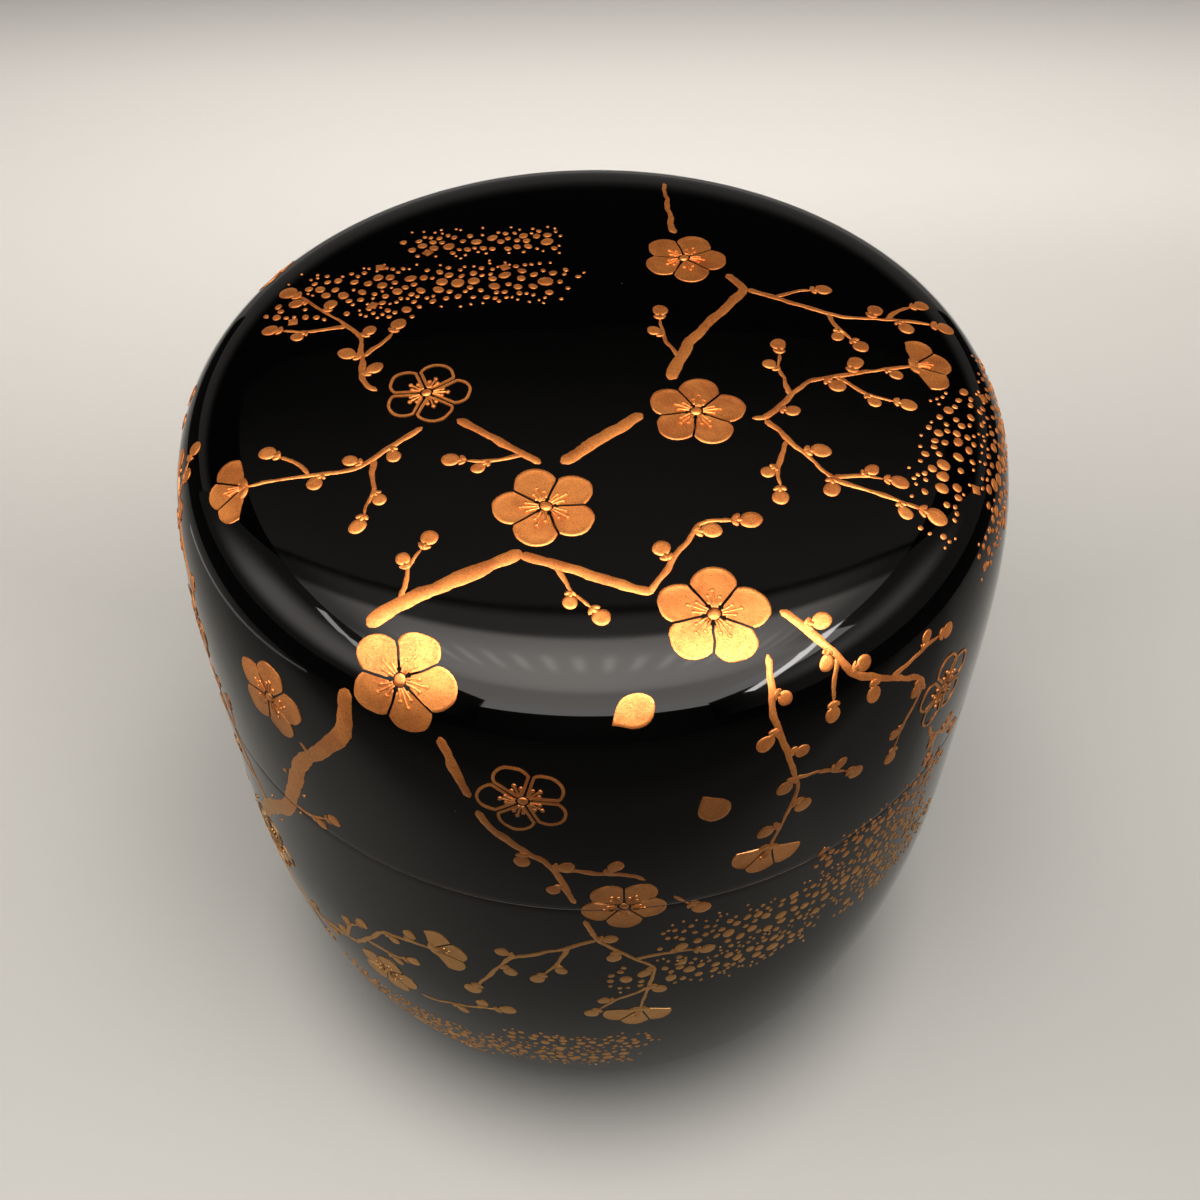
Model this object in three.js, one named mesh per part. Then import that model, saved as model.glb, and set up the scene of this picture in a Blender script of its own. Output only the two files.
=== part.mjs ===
// Natsume tea caddy: a turned and lacquered jar, closed by a deep lid that slips
// over a thin inner rim and meets the body in one flush hairline seam.
// Millimetres, +Z up. The origin is the centre of the foot, on the table.

import * as THREE from 'three';

// Overall form, shared by the lid and the body
const BELLY_RADIUS = 33;
const BELLY_HEIGHT = 34;
const SEAM_HEIGHT = 44.4;
const FOOT_RADIUS = 21.2;
const SHOULDER_RISE = 32.1;
const CROWN_RISE = 1.8;

// Powers of the outline's curves: a higher one is fuller and turns more sharply
const SHOULDER_SPREAD_POWER = 16.6;
const SHOULDER_RISE_POWER = 4.75;
const FLANK_DROP_POWER = 2.34;
const FLANK_SPREAD_POWER = 2.09;

// Angle up the side where the shoulder's turn starts from the top
const SHOULDER_START = 75 * Math.PI / 180;

// Edges broken by hand on both sides of the seam
const SEAM_ARRIS = 0.25;

// Lid
const LID_WALL = 2.6;
const LID_TOP_THICKNESS = 3.4;
const LID_BORE_ABOVE_RIM = 1.8;
const LID_HOLLOW_POWER = 2.5;

// Inner rim, a thin ring glued into a rebate in the body's mouth
const RIM_WALL = 1.6;
const RIM_RISE = 8.2;
const RIM_SEAT_DEPTH = 6;
const RIM_EDGE_BREAK = 0.4;
const RIM_CLEARANCE = 0.3;

// Body
const FLOOR_THICKNESS = 3.6;
const WELL_FLOOR_RADIUS = 16.5;
const WELL_POWER = 2.6;
const FOOT_RING_WIDTH = 2.4;
const FOOT_RECESS_DEPTH = 0.7;
const FOOT_RECESS_SLOPE = 0.5;

// How many flats stand for each curve
const TURN_STEPS = 72;
const TOP_STEPS = 7;
const SHOULDER_STEPS = 11;
const FLANK_STEPS = 16;
const LID_HOLLOW_STEPS = 10;
const WELL_STEPS = 11;

// Sizes that follow from the ones above
const QUARTER_TURN = Math.PI / 2;
const TOTAL_HEIGHT = BELLY_HEIGHT + SHOULDER_RISE + CROWN_RISE;
const SEAM_RADIUS = sideRadius(SEAM_HEIGHT);
const BORE_RADIUS = SEAM_RADIUS - LID_WALL;
const RIM_RADIUS = BORE_RADIUS - RIM_CLEARANCE;
const WELL_RADIUS = RIM_RADIUS - RIM_WALL;
const RIM_SEAT_HEIGHT = SEAM_HEIGHT - RIM_SEAT_DEPTH;
const RIM_TOP_HEIGHT = SEAM_HEIGHT + RIM_RISE;
const BORE_TOP_HEIGHT = RIM_TOP_HEIGHT + LID_BORE_ABOVE_RIM;
const CEILING_HEIGHT = TOTAL_HEIGHT - LID_TOP_THICKNESS;

// Black lacquer, polished to a mirror outside and left a little softer inside
const LID_LACQUER = { color: 0x09090a, roughness: 0.08, metalness: 0 };
const BODY_LACQUER = { color: 0x0a0a0b, roughness: 0.09, metalness: 0 };
const RIM_LACQUER = { color: 0x0c0b0b, roughness: 0.2, metalness: 0 };

// One limb of a superellipse: 1 where the share is 0, and 0 where the share is 1
function limb(share, inPower, outPower) {
  return Math.pow(Math.max(1 - Math.pow(share, inPower), 0), 1 / outPower);
}

// How far the side reaches from the belly, up to the top or down to the table
function sideReach(above) {
  return above ? SHOULDER_RISE : BELLY_HEIGHT;
}

// Outer radius of the side at a height
function sideRadius(height) {
  const offset = height - BELLY_HEIGHT;
  const share = Math.abs(offset) / sideReach(offset > 0);
  if (offset > 0) return BELLY_RADIUS * limb(share, SHOULDER_RISE_POWER, SHOULDER_SPREAD_POWER);
  const spread = BELLY_RADIUS - FOOT_RADIUS;
  return FOOT_RADIUS + spread * limb(share, FLANK_DROP_POWER, FLANK_SPREAD_POWER);
}

// A height on the side as an angle from the belly, so that even angles crowd where the outline turns
function sideAngle(height) {
  const offset = height - BELLY_HEIGHT;
  return Math.asin(offset / sideReach(offset > 0));
}

// Points of the side from one angle down to another
function sidePoints(fromAngle, toAngle, steps) {
  const points = [];
  for (let step = 0; step <= steps; step += 1) {
    const angle = fromAngle + (toAngle - fromAngle) * step / steps;
    const height = BELLY_HEIGHT + sideReach(angle > 0) * Math.sin(angle);
    points.push(new THREE.Vector2(sideRadius(height), height));
  }
  return points;
}

// Points of the nearly flat top, from its middle out to where the shoulder turns down
function topPoints(edgeRadius) {
  const points = [];
  for (let step = 0; step < TOP_STEPS; step += 1) {
    const radius = edgeRadius * Math.sin(QUARTER_TURN * step / TOP_STEPS);
    const share = radius / BELLY_RADIUS;
    const rise = SHOULDER_RISE * limb(share, SHOULDER_SPREAD_POWER, SHOULDER_RISE_POWER);
    points.push(new THREE.Vector2(radius, BELLY_HEIGHT + rise));
  }
  return points;
}

// Lid's outline from the middle of its top down to the seam, with the crown's gentle doming
function lidOutline() {
  const shoulder = sidePoints(SHOULDER_START, sideAngle(SEAM_HEIGHT + SEAM_ARRIS), SHOULDER_STEPS);
  const points = [...topPoints(shoulder[0].x), ...shoulder];
  for (const point of points) {
    const share = point.x / BELLY_RADIUS;
    const reach = (point.y - SEAM_HEIGHT) / (TOTAL_HEIGHT - CROWN_RISE - SEAM_HEIGHT);
    point.y += CROWN_RISE * (1 - share * share) * reach;
  }
  return points;
}

// Points of the lid's hollow from its bore in to the middle of its ceiling
function lidHollowPoints() {
  const rise = CEILING_HEIGHT - BORE_TOP_HEIGHT;
  const points = [];
  for (let step = 0; step <= LID_HOLLOW_STEPS; step += 1) {
    const share = Math.cos(QUARTER_TURN * step / LID_HOLLOW_STEPS);
    const radius = step === LID_HOLLOW_STEPS ? 0 : BORE_RADIUS * share;
    const height = BORE_TOP_HEIGHT + rise * limb(share, LID_HOLLOW_POWER, LID_HOLLOW_POWER);
    points.push(new THREE.Vector2(radius, height));
  }
  return points;
}

// Points of the tea well from the middle of its floor out and up to the rim's seat
function wellPoints() {
  const depth = RIM_SEAT_HEIGHT - FLOOR_THICKNESS;
  const spread = WELL_RADIUS - WELL_FLOOR_RADIUS;
  const points = [new THREE.Vector2(0, FLOOR_THICKNESS)];
  for (let step = WELL_STEPS; step >= 0; step -= 1) {
    const share = Math.sin(QUARTER_TURN * step / WELL_STEPS);
    const radius = WELL_FLOOR_RADIUS + spread * limb(share, WELL_POWER, WELL_POWER);
    points.push(new THREE.Vector2(radius, RIM_SEAT_HEIGHT - depth * share));
  }
  return points;
}

// Lid: crown, shoulder and side outside; a straight bore and a domed hollow inside
function lidProfile() {
  return [
    ...lidOutline(),
    new THREE.Vector2(SEAM_RADIUS - SEAM_ARRIS, SEAM_HEIGHT),
    new THREE.Vector2(BORE_RADIUS + SEAM_ARRIS, SEAM_HEIGHT),
    new THREE.Vector2(BORE_RADIUS, SEAM_HEIGHT + SEAM_ARRIS),
    ...lidHollowPoints(),
  ];
}

// Body: flank and foot ring outside; a rebate for the rim and the rounded tea well inside
function bodyProfile() {
  const rebateRadius = RIM_RADIUS + RIM_CLEARANCE;
  const ringInnerRadius = FOOT_RADIUS - FOOT_RING_WIDTH;
  return [
    ...wellPoints(),
    new THREE.Vector2(rebateRadius, RIM_SEAT_HEIGHT),
    new THREE.Vector2(rebateRadius, SEAM_HEIGHT),
    new THREE.Vector2(SEAM_RADIUS - SEAM_ARRIS, SEAM_HEIGHT),
    ...sidePoints(sideAngle(SEAM_HEIGHT - SEAM_ARRIS), -QUARTER_TURN, FLANK_STEPS),
    new THREE.Vector2(ringInnerRadius, 0),
    new THREE.Vector2(ringInnerRadius - FOOT_RECESS_SLOPE, FOOT_RECESS_DEPTH),
    new THREE.Vector2(0, FOOT_RECESS_DEPTH),
  ];
}

// Rim ring: a plain band that stands on the seat, with both top edges broken
function rimProfile() {
  return [
    new THREE.Vector2(WELL_RADIUS, RIM_SEAT_HEIGHT),
    new THREE.Vector2(WELL_RADIUS, RIM_TOP_HEIGHT - RIM_EDGE_BREAK),
    new THREE.Vector2(WELL_RADIUS + RIM_EDGE_BREAK, RIM_TOP_HEIGHT),
    new THREE.Vector2(RIM_RADIUS - RIM_EDGE_BREAK, RIM_TOP_HEIGHT),
    new THREE.Vector2(RIM_RADIUS, RIM_TOP_HEIGHT - RIM_EDGE_BREAK),
    new THREE.Vector2(RIM_RADIUS, RIM_SEAT_HEIGHT),
    new THREE.Vector2(WELL_RADIUS, RIM_SEAT_HEIGHT),
  ];
}

// A solid of revolution about the Z axis, from a profile that runs clockwise round its wood
function turned(name, profile, finish) {
  const geometry = new THREE.LatheGeometry([...profile].reverse(), TURN_STEPS);
  geometry.rotateX(QUARTER_TURN);
  const mesh = new THREE.Mesh(geometry, new THREE.MeshStandardMaterial(finish));
  mesh.name = name;
  return mesh;
}

const natsume = new THREE.Group();
natsume.name = 'natsume';
natsume.add(turned('body', bodyProfile(), BODY_LACQUER));
natsume.add(turned('rim_ring', rimProfile(), RIM_LACQUER));
natsume.add(turned('lid', lidProfile(), LID_LACQUER));

export default natsume;
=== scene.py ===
# The looks of the natsume tea caddy: polished black lacquer with raised gold.
# Metres, +Z up, origin at the centre of the foot. Azimuths run from the front
# towards the viewer's right, and ways down the surface run from the crown's middle.

import math

import bpy
import numpy as np
from mathutils import Matrix, Vector


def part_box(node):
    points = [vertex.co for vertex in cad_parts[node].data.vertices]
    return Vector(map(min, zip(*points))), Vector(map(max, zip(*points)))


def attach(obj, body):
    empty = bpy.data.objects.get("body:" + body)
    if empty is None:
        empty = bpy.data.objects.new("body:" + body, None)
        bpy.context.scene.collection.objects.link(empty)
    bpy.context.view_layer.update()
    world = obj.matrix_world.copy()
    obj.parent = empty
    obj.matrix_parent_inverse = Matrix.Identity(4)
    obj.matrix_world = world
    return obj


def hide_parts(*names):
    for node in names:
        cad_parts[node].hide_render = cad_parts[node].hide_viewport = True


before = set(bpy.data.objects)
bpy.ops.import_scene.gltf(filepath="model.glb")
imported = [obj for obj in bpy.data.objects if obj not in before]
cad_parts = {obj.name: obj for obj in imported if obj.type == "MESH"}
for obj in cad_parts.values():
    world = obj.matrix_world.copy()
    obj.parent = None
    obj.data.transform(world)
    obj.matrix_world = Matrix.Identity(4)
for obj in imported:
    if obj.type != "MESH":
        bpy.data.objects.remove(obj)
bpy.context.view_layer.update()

MM = 0.001

# Driving sizes, from the frame
lid_low, lid_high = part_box("lid")
rim_low, rim_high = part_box("rim_ring")
BELLY_RADIUS = lid_high.x
SEAM_HEIGHT = lid_low.z
TOTAL_HEIGHT = lid_high.z
RIM_RADIUS = rim_high.x
RIM_TOP = rim_high.z
RIM_SEAT = rim_low.z

# The outline's remaining sizes and powers, as turned
BELLY_HEIGHT = 34 * MM
FOOT_RADIUS = 21.2 * MM
CROWN_RISE = 1.8 * MM
SHOULDER_RISE = TOTAL_HEIGHT - CROWN_RISE - BELLY_HEIGHT
SHOULDER_SPREAD_POWER = 16.6
SHOULDER_RISE_POWER = 4.75
FLANK_DROP_POWER = 2.34
FLANK_SPREAD_POWER = 2.09
SHOULDER_START = math.radians(75)

# Walls, edges and the hollows
RIM_CLEARANCE = 0.3 * MM
RIM_WALL = 1.6 * MM
BORE_ABOVE_RIM = 1.8 * MM
LID_TOP_THICKNESS = 3.4 * MM
BORE_RADIUS = RIM_RADIUS + RIM_CLEARANCE
WELL_RADIUS = RIM_RADIUS - RIM_WALL
BORE_TOP = RIM_TOP + BORE_ABOVE_RIM
CEILING = TOTAL_HEIGHT - LID_TOP_THICKNESS
LID_HOLLOW_POWER = 2.5
FLOOR_THICKNESS = 3.6 * MM
WELL_FLOOR_RADIUS = 16.5 * MM
WELL_POWER = 2.6
FOOT_RING_WIDTH = 2.4 * MM
FOOT_RECESS_DEPTH = 0.7 * MM
FOOT_RECESS_SLOPE = 0.5 * MM
SEAM_ARRIS = 0.05 * MM
SEAM_GAP = 0.09 * MM
SEAM_GAP_DEPTH = 0.5 * MM
INNER_ARRIS = 0.2 * MM
RIM_EDGE = 0.5 * MM

# Steps of each curve
TURN_STEPS = 256
TOP_STEPS = 26
SHOULDER_STEPS = 64
FLANK_STEPS = 72
LID_HOLLOW_STEPS = 28
WELL_STEPS = 30
CORNER_STEPS = 5
QUARTER_TURN = math.pi / 2


# The outline of the caddy

def limb(share, in_power, out_power):
    return max(1 - share ** in_power, 0) ** (1 / out_power)


def side_reach(above):
    return SHOULDER_RISE if above else BELLY_HEIGHT


def side_radius(height):
    offset = height - BELLY_HEIGHT
    share = min(abs(offset) / side_reach(offset > 0), 1)
    if offset > 0:
        return BELLY_RADIUS * limb(share, SHOULDER_RISE_POWER, SHOULDER_SPREAD_POWER)
    return FOOT_RADIUS + (BELLY_RADIUS - FOOT_RADIUS) * limb(share, FLANK_DROP_POWER, FLANK_SPREAD_POWER)


def side_angle(height):
    offset = height - BELLY_HEIGHT
    return math.asin(max(-1, min(1, offset / side_reach(offset > 0))))


def side_points(from_angle, to_angle, steps):
    points = []
    for step in range(steps + 1):
        angle = from_angle + (to_angle - from_angle) * step / steps
        height = BELLY_HEIGHT + side_reach(angle > 0) * math.sin(angle)
        points.append((side_radius(height), height))
    return points


def top_points(edge_radius, steps):
    points = []
    for step in range(steps):
        radius = edge_radius * math.sin(QUARTER_TURN * step / steps)
        rise = SHOULDER_RISE * limb(radius / BELLY_RADIUS, SHOULDER_SPREAD_POWER, SHOULDER_RISE_POWER)
        points.append((radius, BELLY_HEIGHT + rise))
    return points


def domed(points):
    """The outline with the crown's gentle rise added, which fades out at the seam."""
    reach = TOTAL_HEIGHT - CROWN_RISE - SEAM_HEIGHT
    raised = []
    for radius, height in points:
        lift = CROWN_RISE * (1 - (radius / BELLY_RADIUS) ** 2) * max(height - SEAM_HEIGHT, 0) / reach
        raised.append((radius, height + lift))
    return raised


def corner(radius, height, size, turn_from, turn_to):
    """A rounded edge: points on a quarter circle of the given size about (radius, height)."""
    points = []
    for step in range(CORNER_STEPS + 1):
        angle = math.radians(turn_from + (turn_to - turn_from) * step / CORNER_STEPS)
        points.append((radius + size * math.cos(angle), height + size * math.sin(angle)))
    return points


def lid_profile():
    """The lid bears on the body just inside the seam, which leaves a hairline open outside."""
    lip = SEAM_HEIGHT + SEAM_GAP
    shoulder = side_points(SHOULDER_START, side_angle(lip + SEAM_ARRIS), SHOULDER_STEPS)
    outline = domed(top_points(shoulder[0][0], TOP_STEPS) + shoulder)
    seam_radius = side_radius(SEAM_HEIGHT)
    outer = corner(seam_radius - SEAM_ARRIS, lip + SEAM_ARRIS, SEAM_ARRIS, 0, -90)
    outer += [(seam_radius - SEAM_GAP_DEPTH, lip), (seam_radius - SEAM_GAP_DEPTH, SEAM_HEIGHT)]
    inner = corner(BORE_RADIUS + INNER_ARRIS, SEAM_HEIGHT + INNER_ARRIS, INNER_ARRIS, -90, -180)
    hollow = []
    for step in range(LID_HOLLOW_STEPS + 1):
        share = math.cos(QUARTER_TURN * step / LID_HOLLOW_STEPS)
        radius = BORE_RADIUS * share if step < LID_HOLLOW_STEPS else 0
        rise = (CEILING - BORE_TOP) * limb(share, LID_HOLLOW_POWER, LID_HOLLOW_POWER)
        hollow.append((radius, BORE_TOP + rise))
    return outline[:-1] + outer + inner + hollow


def body_profile():
    well = [(0, FLOOR_THICKNESS)]
    for step in range(WELL_STEPS, -1, -1):
        share = math.sin(QUARTER_TURN * step / WELL_STEPS)
        spread = (WELL_RADIUS - WELL_FLOOR_RADIUS) * limb(share, WELL_POWER, WELL_POWER)
        well.append((WELL_FLOOR_RADIUS + spread, RIM_SEAT - (RIM_SEAT - FLOOR_THICKNESS) * share))
    mouth = corner(BORE_RADIUS + INNER_ARRIS, SEAM_HEIGHT - INNER_ARRIS, INNER_ARRIS, 180, 90)
    seam_radius = side_radius(SEAM_HEIGHT)
    outer = corner(seam_radius - SEAM_ARRIS, SEAM_HEIGHT - SEAM_ARRIS, SEAM_ARRIS, 90, 0)
    flank = side_points(side_angle(SEAM_HEIGHT - SEAM_ARRIS), -QUARTER_TURN, FLANK_STEPS)
    ring_inner = FOOT_RADIUS - FOOT_RING_WIDTH
    foot = [(ring_inner, 0), (ring_inner - FOOT_RECESS_SLOPE, FOOT_RECESS_DEPTH), (0, FOOT_RECESS_DEPTH)]
    return well + [(BORE_RADIUS, RIM_SEAT)] + mouth + outer + flank[1:] + foot


def rim_profile():
    inner = corner(WELL_RADIUS + RIM_EDGE, RIM_TOP - RIM_EDGE, RIM_EDGE, 180, 90)
    outer = corner(RIM_RADIUS - RIM_EDGE, RIM_TOP - RIM_EDGE, RIM_EDGE, 90, 0)
    return [(WELL_RADIUS, RIM_SEAT)] + inner + outer + [(RIM_RADIUS, RIM_SEAT), (WELL_RADIUS, RIM_SEAT)]


# Modelling by hand

MERGE_DISTANCE = 0.002 * MM


def select_none():
    for thing in bpy.context.selected_objects:
        thing.select_set(False)


def select_mesh():
    bpy.ops.mesh.select_all(action="SELECT")


def enter_mesh():
    bpy.ops.object.mode_set(mode="EDIT")
    select_mesh()


def leave_mesh():
    """Ends the modelling, with every face turned outward."""
    select_mesh()
    bpy.ops.mesh.normals_make_consistent(inside=False)
    bpy.ops.object.mode_set(mode="OBJECT")


def turned(name, profile):
    """Draws the profile as a chain of points, spins it round Z and closes it."""
    select_none()
    last = Vector((profile[0][0], 0, profile[0][1]))
    bpy.ops.mesh.primitive_plane_add(size=MM, location=(0, 0, 0))
    piece = bpy.context.object
    piece.name = piece.data.name = name
    enter_mesh()
    bpy.ops.mesh.merge(type="CENTER")
    bpy.ops.transform.translate(value=last)
    for radius, height in profile[1:]:
        here = Vector((radius, 0, height))
        bpy.ops.mesh.extrude_region_move(TRANSFORM_OT_translate={"value": here - last})
        last = here
    select_mesh()
    bpy.ops.mesh.spin(steps=TURN_STEPS, angle=2 * math.pi, center=(0, 0, 0), axis=(0, 0, 1))
    select_mesh()
    bpy.ops.mesh.remove_doubles(threshold=MERGE_DISTANCE)
    leave_mesh()
    bpy.ops.object.shade_smooth()
    return piece


# Laying gold on the lacquer

CHAIN_STEPS = 420
LAYING_BATCH = 4000
GOLD_SINK = 0.03 * MM


def lengths_along(path):
    return np.concatenate(([0], np.cumsum(np.linalg.norm(np.diff(path, axis=0), axis=1))))


def surface_chain():
    """The outline as a fine chain: its points, the way down to each and its direction there."""
    side = side_points(SHOULDER_START, -QUARTER_TURN, CHAIN_STEPS)
    points = np.array(domed(top_points(side[0][0], CHAIN_STEPS // 4) + side))
    way = lengths_along(points)
    return points, way, np.gradient(points, way, axis=0)


chain, chain_way, chain_direction = surface_chain()


def on_lacquer(turns, ways, lift=0.0):
    """Points and normals at turns from the front (radians) and ways down from the crown."""
    radius = np.interp(ways, chain_way, chain[:, 0])
    height = np.interp(ways, chain_way, chain[:, 1])
    out = -np.interp(ways, chain_way, chain_direction[:, 1])
    up = np.interp(ways, chain_way, chain_direction[:, 0])
    length = np.hypot(out, up)
    out, up = out / length, up / length
    sine, cosine = np.sin(turns), np.cos(turns)
    normals = np.column_stack((out * sine, -out * cosine, up))
    radius, height = radius + lift * out, height + lift * up
    return np.column_stack((radius * sine, -radius * cosine, height)), normals


def laid(points, lift=0.0):
    """The nearest places on the lacquer, raised by lift, and the normals there."""
    flat = np.column_stack((np.hypot(points[:, 0], points[:, 1]), points[:, 2]))
    ways = np.empty(len(flat))
    for start in range(0, len(flat), LAYING_BATCH):
        batch = flat[start:start + LAYING_BATCH]
        nearest = np.square(batch[:, None] - chain[None]).sum(axis=2).argmin(axis=1)
        offset = ((batch - chain[nearest]) * chain_direction[nearest]).sum(axis=1)
        ways[start:start + LAYING_BATCH] = chain_way[nearest] + offset
    return on_lacquer(np.arctan2(points[:, 0], -points[:, 1]), ways, lift)


def spot(azimuth, way):
    """A place on the lacquer with its upward direction, from degrees and millimetres."""
    turn = math.radians(azimuth)
    points, normals = on_lacquer(np.array([turn]), np.array([way * MM]))
    return points[0], np.cross(normals[0], (math.cos(turn), math.sin(turn), 0))


def flat_turn(flat, degrees, grow=1.0, shift=(0, 0)):
    """A flat drawing turned clockwise, scaled in its plane and shifted."""
    cosine, sine = math.cos(math.radians(degrees)), math.sin(math.radians(degrees))
    across = (flat[:, 0] * cosine + flat[:, 1] * sine) * grow + shift[0]
    along = (flat[:, 1] * cosine - flat[:, 0] * sine) * grow + shift[1]
    return np.column_stack((across, along, flat[:, 2]))


# Wave length and reach of the hand's two kinds of wandering
WANDERING = ((2.7 * MM, 0.06 * MM), (1.1 * MM, 0.022 * MM))


def unsteady(points):
    """The wandering of a hand with a brush, so that no two copies are quite alike."""
    for wave, reach in WANDERING:
        points = points + reach * np.sin(points[:, [1, 2, 0]] * (2 * math.pi / wave) + (0.4, 2.1, 4.4))
    return points


def drawn(flat, centre, upward):
    """A flat drawing (across, along, height) laid on the lacquer with its top pointing upward."""
    normal = laid(centre[None])[1][0]
    sideways = np.cross(upward, normal)
    sideways /= np.linalg.norm(sideways)
    along = np.cross(normal, sideways)
    points = centre + flat[:, :1] * sideways + flat[:, 1:2] * along
    return laid(unsteady(points), flat[:, 2])[0]


# Stamps: the small shapes of the drawing, each modelled once and then copied

PETAL_RADIUS = 1.64 * MM
PETAL_FORWARD = 2.34 * MM
PETAL_GAP = 0.2 * MM
PETAL_STEPS = 24
CUT_THRESHOLD = 0.0002 * MM


def sink_shape(size, forward):
    """Sizes a new flat shape, moves it forward and sinks it just under the lacquer."""
    enter_mesh()
    bpy.ops.transform.resize(value=size)
    bpy.ops.transform.translate(value=(0, forward, -GOLD_SINK))


def flat_round(steps, radius, stretch=1.0, forward=0.0):
    """Starts a stamp with a filled round face."""
    select_none()
    bpy.ops.mesh.primitive_circle_add(vertices=steps, radius=radius, fill_type="NGON", location=(0, 0, 0))
    sink_shape((1, stretch, 1), forward)


def flat_square(columns, rows, narrow=1.0, forward=0.0):
    """Starts a stamp with a square grid of faces, 1 mm wide before it is narrowed."""
    select_none()
    bpy.ops.mesh.primitive_grid_add(x_subdivisions=columns, y_subdivisions=rows, size=MM,
                                    location=(0, 0, 0))
    sink_shape((narrow, 1, 1), forward)


def raise_face(edge, *rings):
    """Pulls the selected face up to its edge height, then insets and raises it ring by ring."""
    bpy.ops.mesh.extrude_region_move(TRANSFORM_OT_translate={"value": (0, 0, GOLD_SINK + edge * MM)})
    for width, rise in rings:
        bpy.ops.mesh.inset(thickness=width * MM, depth=rise * MM)


def finished_stamp():
    """Ends the modelling of a stamp and gives back its points and faces."""
    leave_mesh()
    stamp = bpy.context.object.data
    points = np.array([vertex.co for vertex in stamp.vertices])
    faces = [tuple(face.vertices) for face in stamp.polygons]
    bpy.data.meshes.remove(stamp)
    return points, faces


def cut_off(place, direction, fill=True):
    """Cuts away what lies beyond a plane, and closes the cut unless fill is off."""
    select_mesh()
    bpy.ops.mesh.bisect(plane_co=place, plane_no=direction, clear_outer=True, threshold=CUT_THRESHOLD)
    select_mesh()
    bpy.ops.mesh.delete_loose()
    if fill:
        select_mesh()
        bpy.ops.mesh.fill_holes(sides=0)


def trim_to_sector(half_angle, fill):
    """Cuts away what leans more than the half angle (degrees) to either side of the petal."""
    turn = math.radians(half_angle)
    for side in (-1, 1):
        normal = Vector((side * math.cos(turn), -math.sin(turn), 0))
        cut_off(normal * -PETAL_GAP / 2, normal, fill)


def petal_stamp(sector):
    """One petal of a blossom 8 mm across, with a raised rim and a shallow dish."""
    flat_round(PETAL_STEPS, PETAL_RADIUS, forward=PETAL_FORWARD)
    raise_face(0.035, (0.07, 0.035), (0.16, -0.02), (0.4, -0.012), (0.5, 0.004))
    bpy.ops.mesh.poke()
    trim_to_sector(sector, True)
    return finished_stamp()


def outlined_petal_stamp():
    """A petal drawn only as its outline."""
    flat_round(PETAL_STEPS, PETAL_RADIUS, forward=PETAL_FORWARD)
    trim_to_sector(36, False)
    select_mesh()
    bpy.ops.mesh.inset(thickness=0.26 * MM)
    bpy.ops.mesh.delete(type="FACE")
    select_mesh()
    raise_face(0.06)
    return finished_stamp()


def fallen_petal_stamp():
    """A petal that came off: round, with its base drawn out to a point."""
    flat_round(PETAL_STEPS, 1.3 * MM)
    bpy.ops.mesh.select_all(action="DESELECT")
    bpy.ops.object.mode_set(mode="OBJECT")
    min(bpy.context.object.data.vertices, key=lambda vertex: vertex.co.y).select = True
    bpy.ops.object.mode_set(mode="EDIT")
    bpy.ops.transform.translate(value=(0, -0.75 * MM, 0), use_proportional_edit=True,
                                proportional_edit_falloff="SHARP", proportional_size=1.6 * MM)
    select_mesh()
    raise_face(0.03, (0.07, 0.03), (0.2, -0.015))
    bpy.ops.mesh.poke()
    return finished_stamp()


def bead_stamp():
    """A drop of gold, 1 mm in radius; its height is set when it is placed."""
    flat_round(10, MM)
    raise_face(0.05, (0.14, 0.06), (0.42, 0.03))
    return finished_stamp()


def bud_stamp():
    """A round bud that stands on its calyx at the origin."""
    flat_round(16, MM, 1.1, 1.75 * MM)
    raise_face(0.03, (0.08, 0.03), (0.3, 0.006), (0.3, 0.003))
    bpy.ops.mesh.poke()
    return finished_stamp()


def sepal_stamp():
    """A small pointed lobe of a calyx, standing on the origin."""
    flat_round(10, 0.3 * MM, 1.8, 0.45 * MM)
    raise_face(0.05, (0.07, 0.03))
    return finished_stamp()


def stamen_stamp():
    """A thin raised line, 1 mm long and standing on the origin."""
    flat_square(1, 4, 0.15, 0.5 * MM)
    raise_face(0.08, (0.035, 0.025))
    return finished_stamp()


def cut_square_stamp():
    """A square of cut gold leaf, 1 mm wide."""
    flat_square(2, 2)
    raise_face(0.04, (0.05, 0.015))
    return finished_stamp()


# Turns of a blossom's stamens from its petal's middle, and how far they reach
STAMENS = ((-16, 1.45), (0, 1.9), (16, 1.45))
PETAL_TURN = 72


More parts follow.
